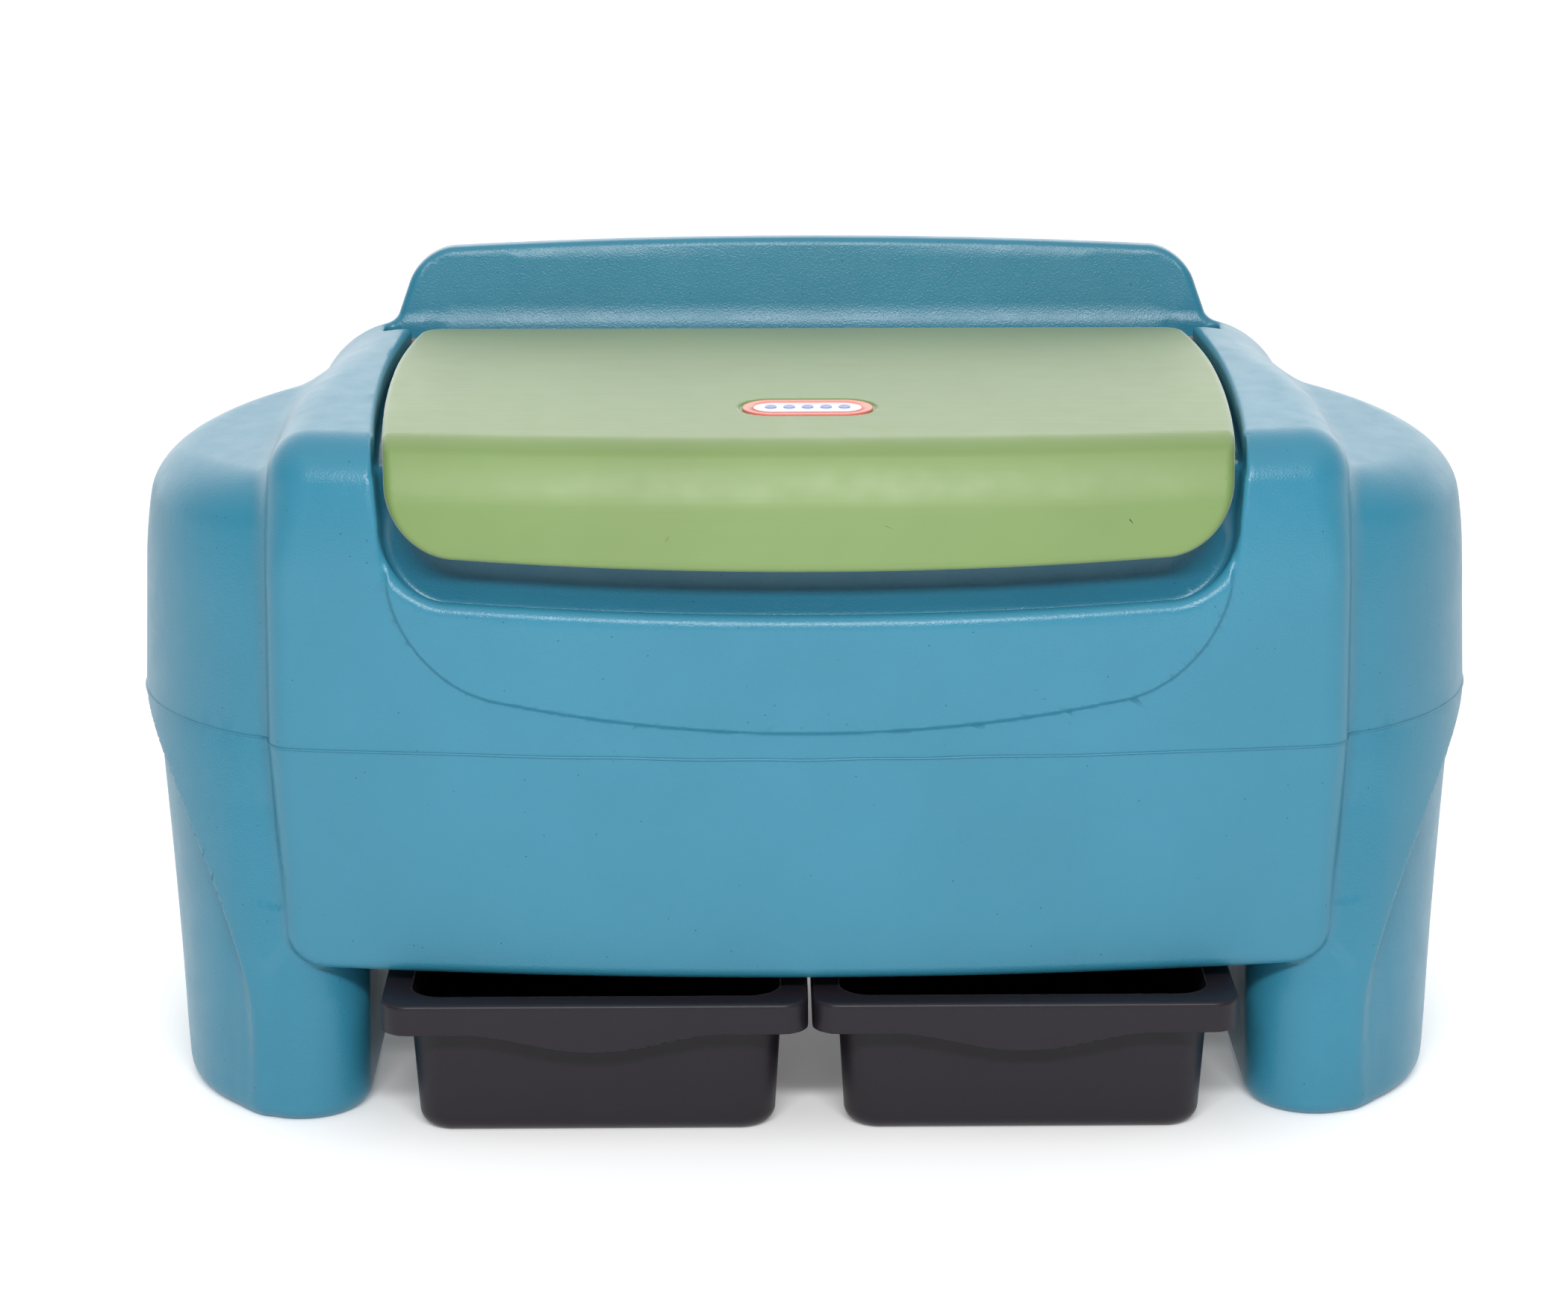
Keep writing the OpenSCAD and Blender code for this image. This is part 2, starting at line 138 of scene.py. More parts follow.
def middle_form(x, y, z):
    """The part between the wings: bowed in front, with sides that lean both ways."""
    front = np.hypot(x, y - FRONT - BOW_R) - BOW_R + 0.0040 - crescent(x, z)
    front = front + 1.5 * np.square(np.maximum(z - 0.435, 0))
    above, below = np.maximum(z - PARTING_Z, 0), np.maximum(PARTING_Z - z, 0)
    side = x - MID_HALF + 0.018 * above + 0.055 * below
    top = z - middle_top(y)
    across = meet(side, PANEL_Z - z, 0.030)
    across = meet(across, top, 0.034 + 0.042 * blend(-0.05, 0.20, y))
    front_r = 0.010 + 0.008 * blend(0.125, 0.20, z) + 0.014 * blend(0.42, 0.50, z)
    solid = meet(across, front, front_r)
    return meet(solid, y - BACK, 0.030)


def wing_disc(x, y, z):
    """A wing's outer wall: a round drum that spreads into a long foot."""
    spread = np.clip((PARTING_Z - z) / PARTING_Z, 0, 1)
    radius = WING_R - 0.043 * spread**1.3 - 0.045 * np.maximum(z - PARTING_Z, 0)
    radius = radius - 1.2 * np.square(np.maximum(z - 0.400, 0))
    middle_y = np.clip(y, WING_Y - 0.077 * spread, WING_Y + 0.0655 * spread)
    return np.hypot(x - WING_X - 0.010 * spread, y - middle_y) - radius


def scoop(y, z):
    """The arch in the side, inside which the wall is set back."""
    half_l = 0.207
    height = PARTING_Z - 0.003
    k1 = np.hypot((y - WING_Y) / half_l, z / height)
    k2 = np.hypot((y - WING_Y) / half_l**2, z / height**2)
    return k1 * (k1 - 1) / np.maximum(k2, 1e-6)


def wing_form(x, y, z):
    disc = wing_disc(x, y, z)
    top = (z - WING_Z + 0.12 * (x - MID_HALF) - 0.055 * (y - WING_Y)) / 1.0087
    solid = meet(meet(disc, top, 0.033), -z, 0.014)
    leg_front = LEG_Y - LEG_R + 0.018 * np.clip(z / PANEL_Z, 0, 2)
    solid = meet(solid, leg_front - 0.0015 - y, 0.016)
    cut_x = INNER_CUT - 0.040 * blend(0.112, 0.165, z)
    solid = meet(solid, cut_x - x, 0.010)
    spread = np.clip((PARTING_Z - z) / PARTING_Z, 0, 1)
    set_back = (0.0085 + 0.022 * spread) * (1 - spread)
    return meet(solid, join(-scoop(y, z), disc + set_back, 0.009), 0.0045)


def leg_form(x, y, z):
    """A round leg, drawn out to the back, that leans back towards its top."""
    lean = 0.018 * z / PANEL_Z
    middle_y = np.clip(y, LEG_Y + lean, BACK - LEG_R)
    disc = np.hypot(x - LEG_X, y - middle_y) - LEG_R
    return meet(meet(disc, -z, 0.012), z - PANEL_Z - 0.040)


def rail_form(x, y, z):
    """The upright rail behind the lid, with a crowned top and sloping ends."""
    crown_r = 5.7
    crown = np.hypot(x, z - TOP + crown_r) - crown_r
    base_z = 0.541
    side = (x - 0.339) * 0.942 + (z - base_z) * 0.335
    front = (SEAT_BACK + 0.0005 + 0.125 * np.maximum(z - 0.536, 0) - y) / 1.008
    face = meet(side, crown, 0.026)
    slab = meet(meet(face, y - BACK, 0.007), front, 0.007)
    return meet(slab, base_z - 0.040 - z)


def outer_form(x, y, z):
    """The outside of the body, cut level with the floor and the back."""
    wing = join(wing_form(x, y, z), leg_form(x, y, z), 0.007)
    wing_r = 0.004 + 0.005 * blend(0.12, 0.17, z) + 0.007 * blend(0.28, 0.36, z)
    solid = join(middle_form(x, y, z), wing, wing_r)
    solid = join(solid, rail_form(x, y, z), 0.007)
    return np.maximum(np.maximum(solid, -z), y - BACK)


def seat_half(y):
    """Half width of the opening that the lid lies in."""
    widest_y = 0.040
    behind = 0.40 * np.square(np.maximum(y - widest_y, 0))
    before = 0.22 * np.square(np.minimum(y - widest_y, 0))
    return 0.3318 - behind - before


def seat_hollow(x, y, z):
    back = y - SEAT_BACK - 0.125 * np.maximum(z - 0.532, 0)
    plan = meet(x - seat_half(y), back, 0.012)
    return meet(plan, middle_top(y) - SEAT_DEPTH - z, 0.004)


def gap_hollow(x, y, z):
    """The finger gap under the lid's front edge; its floor falls towards the back."""
    side = x - 0.3185 - 0.09 * np.maximum(z - 0.47, 0)
    behind = np.maximum(y - FRONT - bow(x), 0)
    outline = meet(side, (GAP_Z + 0.09 * np.square(x) - 0.42 * behind - z) / 1.085, 0.050)
    return meet(outline, y - SEAT_FRONT - GAP_DEEPER - bow(x), 0.007)


def tub_hollow(x, y, z):
    draft = 0.035 * (TOP_FRONT_Z - z)
    side = x - 0.294 + draft
    front = SEAT_FRONT + TUB_WALL + draft - y
    back = y - 0.170 + draft
    return meet(meet(side, np.maximum(front, back), 0.044), 0.146 - z, 0.034)


def pocket_hollow(x, y, z):
    plan = meet(np.maximum(0.300 - x, x - 0.346), np.abs(y - 0.2045) - 0.0125, 0.006)
    return np.maximum(plan, 0.5236 - z)


def vent_hollow(x, y, z):
    return np.maximum(np.hypot(x - 0.210, z - 0.180) - 0.016, BACK - 0.005 - y)


def body_field(x, y, z):
    hollows = join(seat_hollow(x, y, z), gap_hollow(x, y, z), 0.005)
    hollows = join(hollows, tub_hollow(x, y, z), 0.005)
    hollows = join(hollows, pocket_hollow(x, y, z), 0.003)
    hollows = np.minimum(hollows, vent_hollow(x, y, z))
    in_front = blend(-0.205, -0.225, y - bow(x))
    lip = 0.0045 + 0.0085 * blend(0.47, 0.43, z) * blend(0.330, 0.315, x) * in_front
    return meet(outer_form(x, y, z), -hollows, lip)


# ------------------------------------------------------------------ the lid's field
# The lid is a bent sheet: lid_skin is 0 on its outer face, and lid_outline on its edge.

LID_WALL = 0.0032
LID_BACK = LID_HIGH.y
LID_TOP = LID_HIGH.z
LID_CREST_Y = 0.190
LID_CURVE = 0.0723
AXIS_Y = 0.198
AXIS_Z = 0.529
BADGE_HALF_L = 0.0495
BADGE_HALF_W = 0.022


def lid_top(y):
    return LID_TOP - LID_CURVE * np.square(y - LID_CREST_Y)


def lid_skin(x, y, z):
    share = np.clip((0.185 - y) / 0.345, 0, 1)
    y = y - share * bow(x)
    ridge_y, ridge_z = -0.1885, 0.5312
    bend_y, bend_z = -0.2095, 0.5095
    top = z - lid_top(y)
    band = -0.715 * (y - ridge_y) + 0.699 * (z - ridge_z)
    apron = -0.982 * (y - bend_y) + 0.189 * (z - bend_z)
    return meet(meet(top, band, 0.010), apron, 0.014)


def lid_outline(x, y, z):
    half = seat_half(np.maximum(y, -0.190)) - 0.0060
    plan = meet(x - half, y - LID_BACK, 0.017)
    lower = 0.4392 + 0.09 * np.square(x)
    return meet(plan, lower - z, 0.050)


def badge_pill(x, y, half_l, half_w):
    return np.hypot(np.maximum(x - half_l + half_w, 0), y - BADGE_Y) - half_w


def slab(value, low, high):
    """Distance outside the range from low to high."""
    return np.maximum(low - value, value - high)


def lid_ribs(x, y, skin):
    along = meet(np.minimum(x, np.abs(x - 0.180)) - 0.00125, slab(y, -0.150, 0.190))
    across = meet(np.abs(np.abs(y - 0.045) - 0.065) - 0.00125, x - 0.300)
    return meet(np.minimum(along, across), slab(-skin, LID_WALL - 0.001, 0.013), 0.0006)


def lid_field(x, y, z):
    skin = lid_skin(x, y, z)
    edge = lid_outline(x, y, z)
    wall = LID_WALL
    outer = meet(skin, edge, 0.0062)
    inner = meet(skin + wall, edge + wall, 0.0030)
    depth = 0.019 - 0.005 * blend(0.185, 0.204, y) - 0.012 * blend(-0.165, -0.205, y)
    shell = meet(meet(outer, -inner, 0.0008), -skin - depth, 0.0010)
    shell = join(shell, lid_ribs(x, y, skin), 0.0010)

    boss = meet(np.hypot(y - AXIS_Y, z - AXIS_Z) - 0.0085, slab(x, 0.276, 0.310), 0.0008)
    web = meet(slab(y, 0.1895, 0.202), slab(x, 0.276, 0.310))
    web = meet(web, slab(z, AXIS_Z, LID_TOP - 0.002))
    post = meet(np.hypot(x - 0.302, y + 0.120) - 0.0065, slab(z, 0.5122, 0.531))
    shell = join(shell, np.minimum(np.minimum(boss, web), post), 0.0010)
    bore = meet(np.hypot(y - AXIS_Y, z - AXIS_Z) - 0.0056, slab(x, 0.2795, 0.3110))
    notch = meet(meet(slab(y, 0.191, 0.205), z - 0.536, 0.002), slab(x, 0.3105, 0.330))
    shell = np.maximum(shell, -np.minimum(bore, notch))

    recess_half_w = BADGE_HALF_W + 0.0035
    recess = badge_pill(x, y - 0.0030, BADGE_HALF_L + 0.0035, recess_half_w)
    pad = meet(recess - 0.004, slab(-skin, 0.002, LID_WALL + 0.0022), 0.0010)
    cut = meet(recess, -skin - 0.0020, 0.0006)
    return meet(join(shell, pad, 0.0010), -cut, 0.0016)


# ------------------------------------------------------------------ a bin's field
# x from the bin's middle plane, y from its front face, z from the floor.

BIN_LOW, BIN_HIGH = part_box("bin_right")
BIN_HALF = (BIN_HIGH.x - BIN_LOW.x) / 2
BIN_LONG = BIN_HIGH.y - BIN_LOW.y
BIN_TOP = BIN_HIGH.z
BIN_WALL = 0.0024
RIM_LOW = BIN_TOP - 0.024


def bin_plan(x, y, inset, r):
    side = x - BIN_HALF + inset
    return meet(side, np.abs(y - BIN_LONG / 2) - BIN_LONG / 2 + inset, r)


def bin_field(x, y, z):
    wall = BIN_WALL
    inset = 0.019 + 0.0065 * (1 - z / BIN_TOP)
    tub = bin_plan(x, y, inset, 0.027)
    outside = meet(meet(tub, -z, 0.012), z - BIN_TOP + 0.001)
    inside = meet(tub + wall, wall - z, 0.010)

    lip_r = 0.197
    lip = np.hypot(x, z - RIM_LOW - lip_r + 0.0137) - lip_r
    hang = join(lip, RIM_LOW - z, 0.009)
    rim_low = np.where(y < wall + 0.002, hang, RIM_LOW - z)
    rim = meet(bin_plan(x, y, 0, 0.020), z - BIN_TOP, 0.0030)
    hollow = meet(bin_plan(x, y, wall, 0.0176), z - BIN_TOP + wall, 0.0020)
    rim = meet(meet(rim, -hollow), rim_low, 0.0008)
    return meet(join(rim, outside, 0.0012), -inside, 0.0016)


# ------------------------------------------------------------------ meshing a field


def steps(low, high, coarse, fine, *zones):
    """Coordinates from low to high, close together inside the zones."""
    values = [low]
    while values[-1] < high:
        near = any(a <= values[-1] + fine and values[-1] <= b for a, b in zones)
        values.append(values[-1] + (fine if near else coarse) * COARSER)
    return np.array(values)


def field_at(field, points):
    return field(np.abs(points[:, 0]), points[:, 1], points[:, 2])


def slope_at(field, points, step=0.0004):
    slope = np.zeros_like(points)
    for axis in range(3):
        shift = np.zeros(3)
        shift[axis] = step
        slope[:, axis] = field_at(field, points + shift) - field_at(field, points - shift)
    return slope / (2 * step)


def onto_surface(field, points, reach=0.004, passes=4):
    """Moves points along the field's slope until they lie on its surface."""
    for _ in range(passes):
        slope = slope_at(field, points)
        size = np.maximum((slope**2).sum(1), 0.05)
        move = field_at(field, points) / size
        points = points - slope * np.clip(move, -reach, reach)[:, None]
    return points


def smooth_piece(name, points, faces):
    mesh = bpy.data.meshes.new(name)
    mesh.from_pydata(points, [], faces)
    mesh.shade_smooth()
    piece = bpy.data.objects.new(name, mesh)
    bpy.context.collection.objects.link(piece)
    return piece


def mesh_field(name, field, xs, ys, zs, merge, place=(0, 0, 0)):
    """A mesh of a field that is mirrored across x = 0, on the lattice xs, ys, zs."""
    margin = 0.012
    half = np.empty((len(xs), len(ys), len(zs)), np.float32)
    y, z = np.meshgrid(ys, zs, indexing="ij")
    for i, x in enumerate(xs):
        half[i] = np.clip(field(np.full_like(y, x), y, z), -margin, margin)
    grid = openvdb.FloatGrid(margin)
    grid.copyFromArray(np.concatenate([half[::-1], half]))
    lattice, triangles, quads = grid.convertToPolygons(0, merge)
    axes = [np.concatenate([-xs[::-1], xs]), ys, zs]
    columns = [np.interp(lattice[:, i], np.arange(len(axes[i])), axes[i]) for i in range(3)]
    points = onto_surface(field, np.stack(columns, 1))
    normals = slope_at(field, points)
    normals /= np.maximum(np.linalg.norm(normals, axis=1, keepdims=True), 1e-9)
    faces = triangles.tolist() + quads.tolist()
    piece = smooth_piece(name, (points + np.array(place)).tolist(), faces)
    piece.data.normals_split_custom_set_from_vertices(normals.tolist())
    return piece


def set_piece(piece, body, slot, material, *nodes):
    piece.data.materials.append(material)
    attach(piece, body)
    if nodes:
        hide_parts(*nodes)


# ------------------------------------------------------------------ materials


class Nodes:
    """Short names for the nodes of one material."""

    def __init__(self, name):
        self.material = bpy.data.materials.new(name)
        self.material.use_nodes = True
        self.tree = self.material.node_tree
        self.shader = self.tree.nodes["Principled BSDF"]
        self.place = self.tree.nodes.new("ShaderNodeTexCoord").outputs["Object"]

    def link(self, source, target):
        self.tree.links.new(source, target)

    def noise(self, scale, detail=2.0, stretch=None):
        where = self.place
        if stretch:
            mapping = self.tree.nodes.new("ShaderNodeMapping")
            mapping.inputs["Scale"].default_value = stretch
            self.link(self.place, mapping.inputs["Vector"])
            where = mapping.outputs["Vector"]
        node = self.tree.nodes.new("ShaderNodeTexNoise")
        node.inputs["Scale"].default_value = scale
        node.inputs["Detail"].default_value = detail
        self.link(where, node.inputs["Vector"])
        return node.outputs["Fac"]

    def dots(self, scale, size, share):
        """1 inside small round dots, in a share of the cells; 0 elsewhere."""
        node = self.tree.nodes.new("ShaderNodeTexVoronoi")
        node.inputs["Scale"].default_value = scale
        self.link(self.place, node.inputs["Vector"])
        inside = self.spread(node.outputs["Distance"], size, size * 1.5, 0.8, 0)
        red = self.tree.nodes.new("ShaderNodeSeparateColor")
        self.link(node.outputs["Color"], red.inputs["Color"])
        chosen = self.spread(red.outputs["Red"], share, share - 0.01, 0, 1)
        both = self.tree.nodes.new("ShaderNodeMath")
        both.operation = "MULTIPLY"
        self.link(inside, both.inputs[0])
        self.link(chosen, both.inputs[1])
        return both.outputs["Value"]

    def spread(self, value, low, high, to_low, to_high):
        node = self.tree.nodes.new("ShaderNodeMapRange")
        for name, number in (
            ("From Min", low),
            ("From Max", high),
            ("To Min", to_low),
            ("To Max", to_high),
        ):
            node.inputs[name].default_value = number
        self.link(value, node.inputs["Value"])
        return node.outputs["Result"]

    def mix(self, share, first, second):
        node = self.tree.nodes.new("ShaderNodeMix")
        node.data_type = "RGBA"
        self.link(share, node.inputs["Factor"])
        for socket, colour in ((node.inputs["A"], first), (node.inputs["B"], second)):
            if isinstance(colour, tuple):
                socket.default_value = (*colour, 1)
            else:
                self.link(colour, socket)
        return node.outputs["Result"]

    def bump(self, height, distance, strength=1.0, under=None):
        node = self.tree.nodes.new("ShaderNodeBump")
        node.inputs["Strength"].default_value = strength
        node.inputs["Distance"].default_value = distance
        self.link(height, node.inputs["Height"])
        if under:
            self.link(under, node.inputs["Normal"])
        return node.outputs["Normal"]


def tinted(colour, factor):
    return tuple(min(1.0, value * factor) for value in colour)


def plastic(name, colour, rough, grain, depth, streak=None, specks=0.0):
    """Moulded plastic: fine grain, faint clouds of shade, and a few dark specks."""
    nodes = Nodes(name)
    clouds = nodes.spread(nodes.noise(7, 3), 0.35, 0.65, 0, 1)
    shade = nodes.mix(clouds, tinted(colour, 0.965), tinted(colour, 1.035))
    if specks:
        shade = nodes.mix(nodes.dots(150, 0.075, specks), shade, tinted(colour, 0.30))
    nodes.link(shade, nodes.shader.inputs["Base Color"])
    patches = nodes.spread(nodes.noise(45, 2), 0.3, 0.7, rough - 0.03, rough + 0.03)
    nodes.link(patches, nodes.shader.inputs["Roughness"])
    normal = nodes.bump(nodes.noise(1 / grain, 1.5), depth)
    normal = nodes.bump(nodes.noise(28, 1), 0.00022, under=normal)
    if streak:
        normal = nodes.bump(nodes.noise(1, 2, stretch=streak), 0.00010, under=normal)
    nodes.link(normal, nodes.shader.inputs["Normal"])
    nodes.shader.inputs["IOR"].default_value = 1.5
    return nodes.material


def set_shader(material, values):
    """Sets constants on the shader's own sockets."""
    shader = material.node_tree.nodes["Principled BSDF"]
    for socket, value in values.items():
        shader.inputs[socket].default_value = value


BLUE = (0.030, 0.207, 0.312)
GREEN = (0.165, 0.262, 0.071)
body_material = plastic("body_plastic_look", BLUE, 0.34, 0.0014, 0.00026, specks=0.14)
lid_material = plastic(
    "lid_plastic_look", GREEN, 0.50, 0.0016, 0.00002, streak=(2.5, 190, 190)
)
bin_material = plastic("bin_plastic_look", (0.014, 0.011, 0.016), 0.42, 0.0010, 0.00005)
set_shader(
    lid_material, {"Specular IOR Level": 0.8, "Sheen Weight": 0.7, "Sheen Roughness": 0.35}
)
set_shader(bin_material, {"Specular IOR Level": 0.3})
rim_material = plastic("badge_rim_look", (0.80, 0.215, 0.165), 0.22, 0.0020, 0.00001)
inlay_material = plastic("badge_inlay_look", (0.88, 0.87, 0.84), 0.22, 0.0020, 0.00001)
stud_material = plastic("badge_stud_look", (0.23, 0.28, 0.56), 0.25, 0.0015, 0.00001)
pin_material = plastic("pin_plastic_look", (0.16, 0.17, 0.17), 0.42, 0.0009, 0.00004)
rubber_material = plastic("soft_rubber_look", (0.020, 0.026, 0.030), 0.62, 0.0008, 0.00006)

# ------------------------------------------------------------------ the chest's pieces

BODY_STEPS = (0.0045, 0.0022)
LID_STEPS = (0.0040, 0.0014)
BIN_STEPS = (0.006, 0.0012)

body = mesh_field(
    "moulded_body",
    body_field,
    steps(0.0011, HALF + 0.008, *BODY_STEPS, (0.19, 0.23), (0.245, 0.352), (0.366, 0.54)),
    steps(FRONT - 0.008, BACK + 0.008, *BODY_STEPS, (-0.25, -0.120), (0.140, 0.26)),
    steps(-0.006, TOP + 0.008, *BODY_STEPS, (-0.01, 0.02), (0.108, 0.160), (0.270, 0.63)),
    BODY_MERGE,
)
set_piece(body, "chest", "body_plastic", body_material, "chest_body")

lid = mesh_field(
    "moulded_lid",
    lid_field,
    steps(
        0.0006,
        LID_HIGH.x + 0.004,
        *LID_STEPS,
        (0, 0.002),
        (0.026, 0.055),
        (0.177, 0.183),
        (0.255, 0.33),
    ),
    steps(
        LID_LOW.y - 0.004,
        LID_BACK + 0.004,
        *LID_STEPS,
        (-0.24, -0.160),
        (-0.119, -0.057),
        (-0.022, -0.018),
        (0.108, 0.112),
        (0.180, 0.22),
    ),
    steps(LID_LOW.z - 0.004, LID_TOP + 0.004, 0.0050, 0.0014, (0.43, 0.55)),
    MERGE,
)
set_piece(lid, "lid", "lid_plastic", lid_material, "lid")

for side, node in ((-1, "bin_left"), (1, "bin_right")):
    low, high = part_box(node)
    tray = mesh_field(
        "moulded_" + node,
        bin_field,
        steps(0.0006, BIN_HALF + 0.004, *BIN_STEPS, (0.104, 0.17)),
        steps(-0.004, BIN_LONG + 0.004, *BIN_STEPS, (-0.01, 0.056), (0.396, 0.46)),
        steps(-0.003, BIN_TOP + 0.003, 0.004, 0.0012, (-0.01, 0.016), (0.071, 0.12)),
        MERGE,
        place=((low.x + high.x) / 2, low.y, 0),
    )
    set_piece(tray, node[4:] + "_bin", "bin_plastic", bin_material, node)


# ------------------------------------------------------------------ the badge
# Rings of points round a pill shape, one above the other on the lid's slope.


PILL_POINTS = 64


def pill_ring(half_l, half_w, count=PILL_POINTS):
    """Points round a pill: half circles joined by straight sides."""
    angles = np.linspace(0, 2 * math.pi, count, endpoint=False) + math.pi / count
    across = half_w * np.cos(angles)
    along = across + np.sign(np.cos(angles)) * (half_l - half_w)
    return np.stack([along, half_w * np.sin(angles)], 1)


def badge_piece(name, rings, middles=(0.0,)):
    """A closed loft of rings (half length, half width, height) round each middle x."""
    points, faces = [], []
    slope = 2 * LID_CURVE * (LID_CREST_Y - BADGE_Y)
    for middle in middles:
        first = len(points)
        for half_l, half_w, height in rings:
            for x, y in pill_ring(half_l, half_w):
                z = lid_top(BADGE_Y) + slope * y + height
                points.append((middle + x, BADGE_Y + y - slope * height, z))
        count = PILL_POINTS
        for ring in range(len(rings) - 1):
            start = first + ring * count
            for i in range(count):
                j = (i + 1) % count
                faces.append((start + i, start + j, start + count + j, start + count + i))
        faces.append(tuple(reversed(range(first, first + count))))
        faces.append(tuple(range(len(points) - count, len(points))))
    return smooth_piece(name, points, faces)


def rounded_edge(half_l, half_w, top, r, count=4):
    """Rings that round a pill's upper edge."""
    angles = [math.pi / 2 * i / count for i in range(count + 1)]
    return [
        (
            half_l - r + r * math.cos(a),
            half_w - r + r * math.sin(math.pi / 2 - a),
            top - r + r * math.sin(a),
        )
        for a in angles
    ]


inner_l, inner_w = BADGE_HALF_L - 0.0082, BADGE_HALF_W - 0.0075
rim_rings = [
    (BADGE_HALF_L - 0.0004, BADGE_HALF_W - 0.0004, -0.0020),
    (BADGE_HALF_L, BADGE_HALF_W, -0.0016),
]
rim_rings += rounded_edge(BADGE_HALF_L, BADGE_HALF_W, 0.0010, 0.0007)
rim_rings += [
    (inner_l + 0.0004, inner_w + 0.0004, 0.0010),
    (inner_l, inner_w, 0.0007),
    (inner_l, inner_w, -0.0006),
]
rim = badge_piece("badge_rim", rim_rings)
set_piece(rim, "lid", "badge_plastic", rim_material, "badge_plate")

inlay_rings = [(inner_l - 0.0002, inner_w - 0.0002, -0.0006)]
inlay_rings += rounded_edge(inner_l - 0.0002, inner_w - 0.0002, 0.0006, 0.0003)
inlay = badge_piece("badge_inlay_plate", inlay_rings)
set_piece(inlay, "lid", "inlay_plastic", inlay_material, "badge_inlay")

stud_rings = [(0.0046, 0.0046, 0.0005)] + rounded_edge(0.0046, 0.0046, 0.0014, 0.0007)
studs = badge_piece("badge_round_studs", stud_rings, [0.014 * i for i in range(-2, 3)])
set_piece(studs, "lid", "stud_plastic", stud_material, "badge_studs")

# ------------------------------------------------------------------ the parting bead


def outline_at(z, count):
    """Points round the body's outer form at height z, found by halving."""
    angles = np.linspace(0, 2 * math.pi, count, endpoint=False)
    near, far = np.full(count, 0.12), np.full(count, 0.75)
    for _ in range(40):
        radius = (near + far) / 2
        x, y = radius * np.cos(angles), radius * np.sin(angles)
        inside = outer_form(np.abs(x), y, z) < 0
        near, far = np.where(inside, radius, near), np.where(inside, far, radius)
    return np.stack([x, y, z], 1)


def bead_heights(count):
    """The parting line's height round the body, with the mould's slight waver."""
    turn = np.linspace(0, 2 * math.pi, count, endpoint=False)
    return PARTING_Z + 0.0004 * np.sin(5 * turn + 0.8) + 0.0003 * np.sin(17 * turn)


def tube(name, path, r, sides=6):
    """A closed tube of radius r along a level closed path."""
    ahead = np.roll(path, -1, 0) - np.roll(path, 1, 0)
    out = np.stack([ahead[:, 1], -ahead[:, 0], np.zeros(len(path))], 1)
    out /= np.linalg.norm(out, axis=1, keepdims=True)
    points = []
    for k in range(sides):
        angle = 2 * math.pi * k / sides
        points.append(path + r * math.cos(angle) * out + [0, 0, r * math.sin(angle)])
    points = np.stack(points, 1).reshape(-1, 3)
    faces = []
    for i in range(len(path)):
        start, after = i * sides, (i + 1) % len(path) * sides
        for k in range(sides):
            j = (k + 1) % sides
            faces.append((start + k, after + k, after + j, start + j))
    return smooth_piece(name, points.tolist(), faces)


BEAD_POINTS = 900
BEAD_R = 0.0010
bead = tube("parting_bead", outline_at(bead_heights(BEAD_POINTS), BEAD_POINTS), BEAD_R)
set_piece(bead, "chest", "body_plastic", body_material)

for node, material in (
    ("hinge_pin_left", pin_material),
    ("hinge_pin_right", pin_material),
    ("lid_bumper_left", rubber_material),
    ("lid_bumper_right", rubber_material),
    ("vent_plug_left", rubber_material),
    ("vent_plug_right", rubber_material),
):
    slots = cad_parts[node].data.materials
    slots.clear()
    slots.append(material)

# ------------------------------------------------------------------ camera, light, floor

PITCH = math.radians(15.5)
YAW = math.radians(0.8)
DISTANCE = 3.2
target = Vector((0, 0.0175, 0.3127))
aim = Vector((math.sin(YAW) * math.cos(PITCH), math.cos(YAW) * math.cos(PITCH), -math.sin(PITCH)))
camera_data = bpy.data.cameras.new("camera")
camera_data.sensor_width = 36
camera_data.lens = 91.8
camera_data.shift_x = -0.0138
camera = bpy.data.objects.new("camera", camera_data)
bpy.context.collection.objects.link(camera)
camera.location = target - aim * DISTANCE
camera.rotation_euler = (math.pi / 2 - PITCH, 0, -YAW)
bpy.context.scene.camera = camera

world = bpy.data.worlds.new("studio")
bpy.context.scene.world = world
world.use_nodes = True
sky = world.node_tree


def sky_node(kind, *inputs, **settings):
    """One node of the studio's surroundings; a number or a socket goes to each input."""
    node = sky.nodes.new(kind)
    for name, value in settings.items():
        setattr(node, name, value)
    for socket, value in zip(node.inputs, inputs):
        if isinstance(value, (int, float)):
            socket.default_value = value
        elif value is not None:
            sky.links.new(value, socket)
    return node.outputs


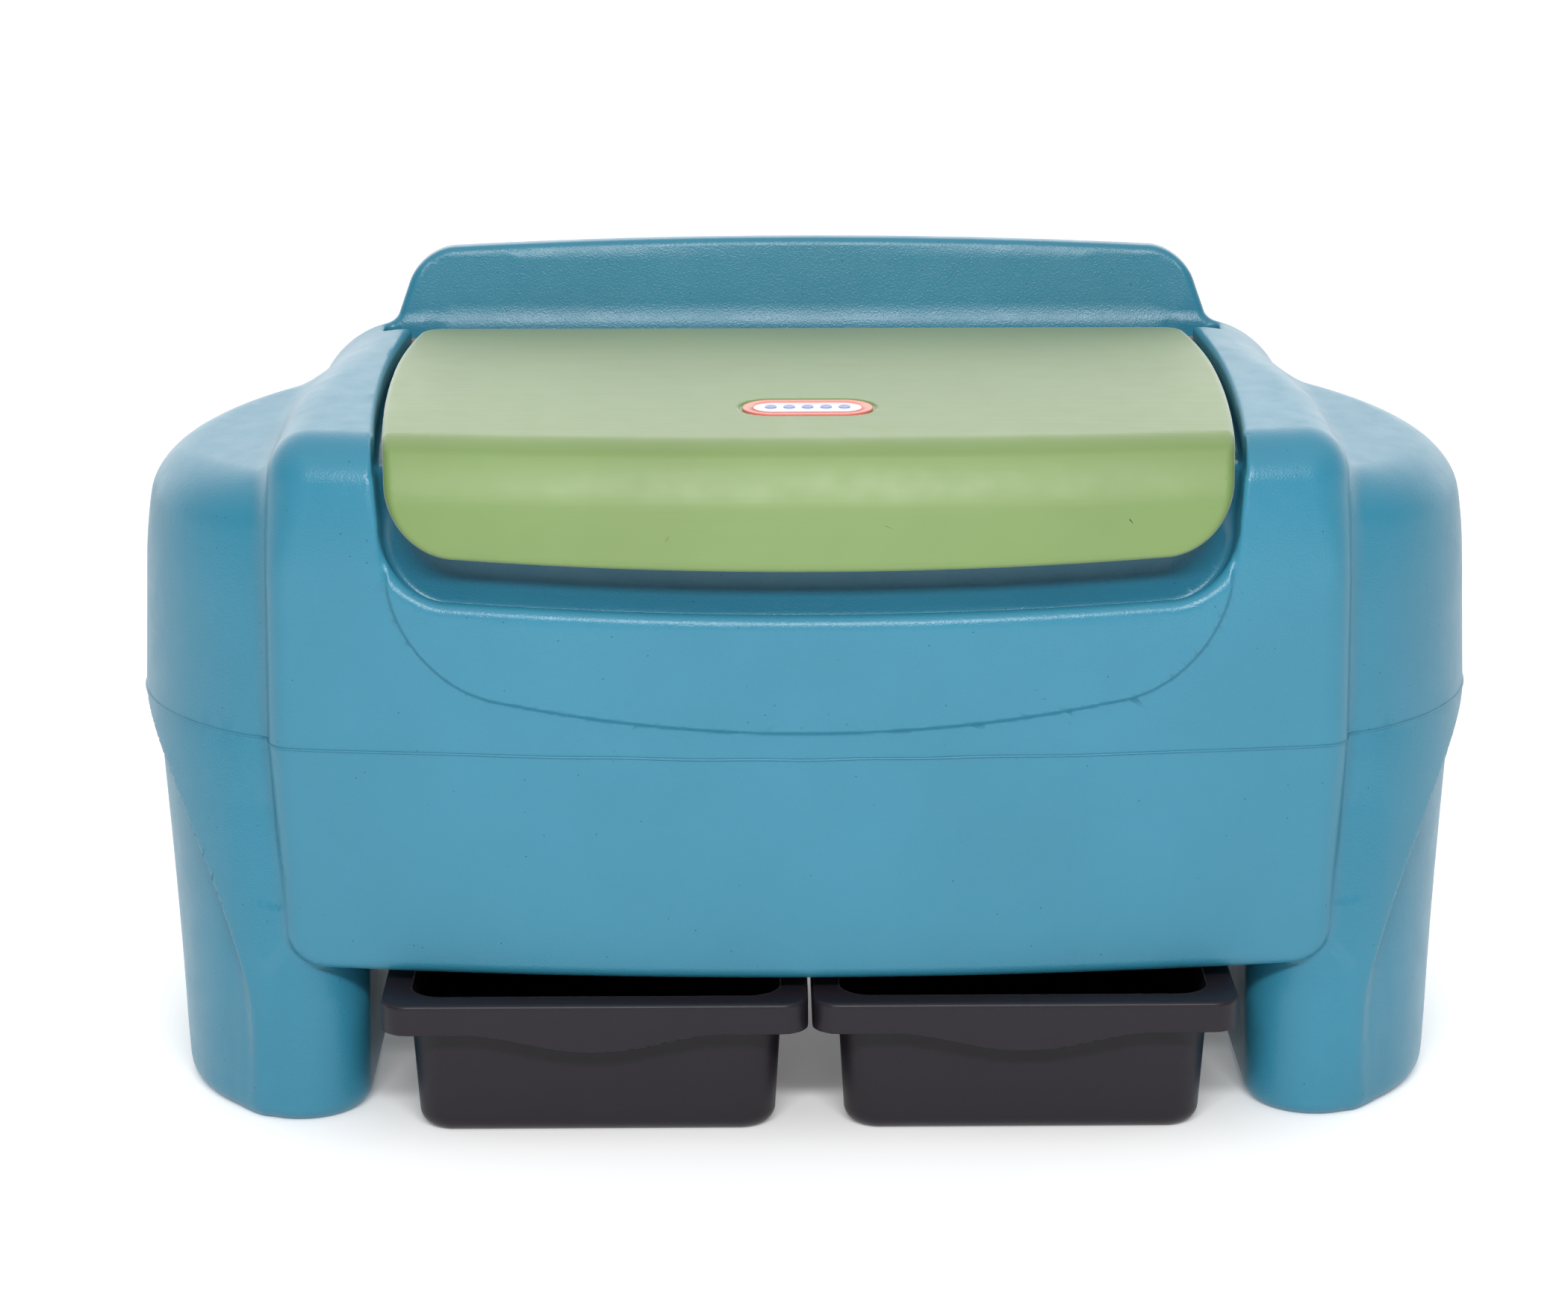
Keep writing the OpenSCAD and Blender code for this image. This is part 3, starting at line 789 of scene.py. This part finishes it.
# The studio is dark low down in front and at the sides, and brighter behind.
FRONT_SKY = 0.90
direction = sky_node("ShaderNodeTexCoord")["Generated"]
parts = sky_node("ShaderNodeSeparateXYZ", direction)
low_down = sky_node("ShaderNodeMapRange", parts["Z"], 0.45, 0.85, 0.88, 0.0)["Result"]
ahead = sky_node("ShaderNodeMapRange", parts["Y"], 0.60, -0.10, 0.0, 1.0)["Result"]
dark = sky_node("ShaderNodeMath", low_down, ahead, operation="MULTIPLY")["Value"]
behind = sky_node("ShaderNodeMapRange", parts["Y"], 0.40, 0.75, 0.0, 1.0)["Result"]
raised = sky_node("ShaderNodeMath", FRONT_SKY, behind, operation="ADD")["Value"]
bright = sky_node("ShaderNodeMath", 1.0, dark, operation="SUBTRACT")["Value"]
strength = sky_node("ShaderNodeMath", bright, raised, operation="MULTIPLY")["Value"]
sky.links.new(strength, sky.nodes["Background"].inputs["Strength"])
sky.nodes["Background"].inputs["Color"].default_value = (1, 1, 1, 1)


def softbox(name, place, size, power):
    """A soft rectangular lamp that faces the chest."""
    lamp = bpy.data.lights.new(name, "AREA")
    lamp.shape = "RECTANGLE"
    lamp.size, lamp.size_y = size
    lamp.energy = power
    holder = bpy.data.objects.new(name, lamp)
    bpy.context.collection.objects.link(holder)
    holder.location = place
    away = Vector(place) - Vector((0, 0, 0.3))
    holder.rotation_euler = away.to_track_quat("Z", "Y").to_euler()


softbox("front_box", (0.0, -2.5, 2.0), (2.0, 0.30), 68)

floor_look = Nodes("floor_look")
floor_shade = floor_look.spread(floor_look.noise(3, 2), 0.3, 0.7, 0.95, 0.97)
floor_look.link(floor_shade, floor_look.shader.inputs["Base Color"])
floor_look.shader.inputs["Roughness"].default_value = 0.7
floor_look.shader.inputs["Specular IOR Level"].default_value = 0.2
floor_look.shader.inputs["Emission Color"].default_value = (1, 1, 1, 1)
floor_look.shader.inputs["Emission Strength"].default_value = 0.15
floor_mesh = bpy.data.meshes.new("floor")
REACH = 9
corners = [(-REACH, -REACH, 0), (REACH, -REACH, 0), (REACH, REACH, 0), (-REACH, REACH, 0)]
floor_mesh.from_pydata(corners, [], [(0, 1, 2, 3)])
floor_mesh.materials.append(floor_look.material)
floor = bpy.data.objects.new("floor", floor_mesh)
bpy.context.collection.objects.link(floor)

bpy.context.scene.view_settings.view_transform = "Standard"
